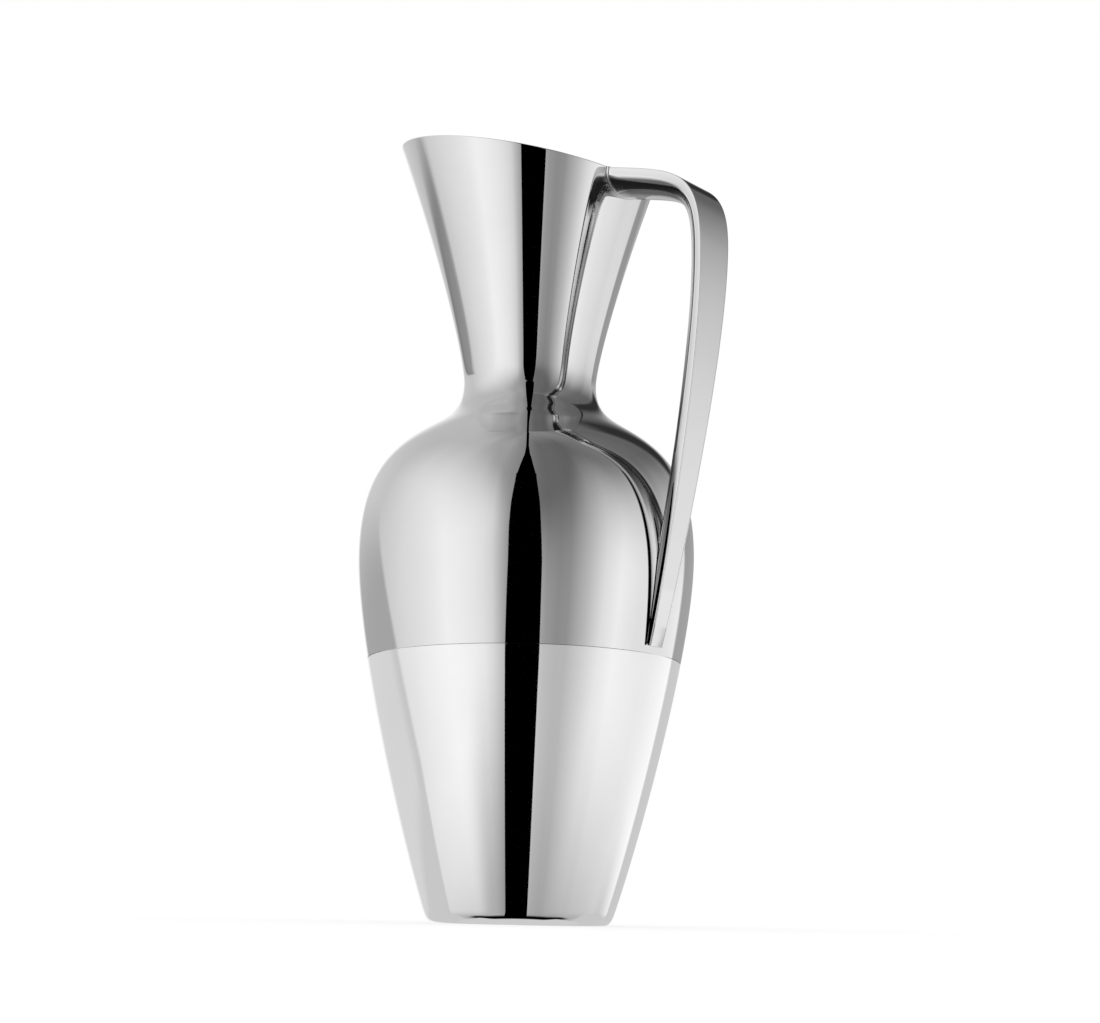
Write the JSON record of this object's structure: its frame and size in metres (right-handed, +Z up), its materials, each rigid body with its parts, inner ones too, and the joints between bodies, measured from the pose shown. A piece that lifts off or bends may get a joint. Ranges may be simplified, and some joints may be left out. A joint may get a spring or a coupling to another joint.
{
  "type": "water pitcher",
  "caption": "Tall polished steel water pitcher with a tapered foot, round belly, narrow neck, slanted funnel mouth and a hollow strap handle from rim to belly.",
  "frame": {"origin": "centre of the flat base, on the table", "axes": "+Z up along the body's axis, +X towards the handle, -X towards the spout"},
  "size_m": [0.1471, 0.126, 0.3],
  "materials": {
    "upper_steel": "mirror-polished stainless steel",
    "lower_steel": "mirror-polished stainless steel",
    "weld_steel": "ground weld bead",
    "handle_steel": "mirror-polished stainless steel",
    "face_steel": "polished stainless steel, slightly softer than the body",
    "plate_steel": "polished stainless steel",
    "solder": "dull solder, hidden"
  },
  "bodies": {
    "root": {"upper_body": "upper_steel", "lower_body": "lower_steel", "seam_weld": "weld_steel", "handle_back": "handle_steel", "handle_face": "face_steel", "handle_root_plate": "plate_steel", "handle_foot_pad": "solder"}
  },
  "joints": []
}
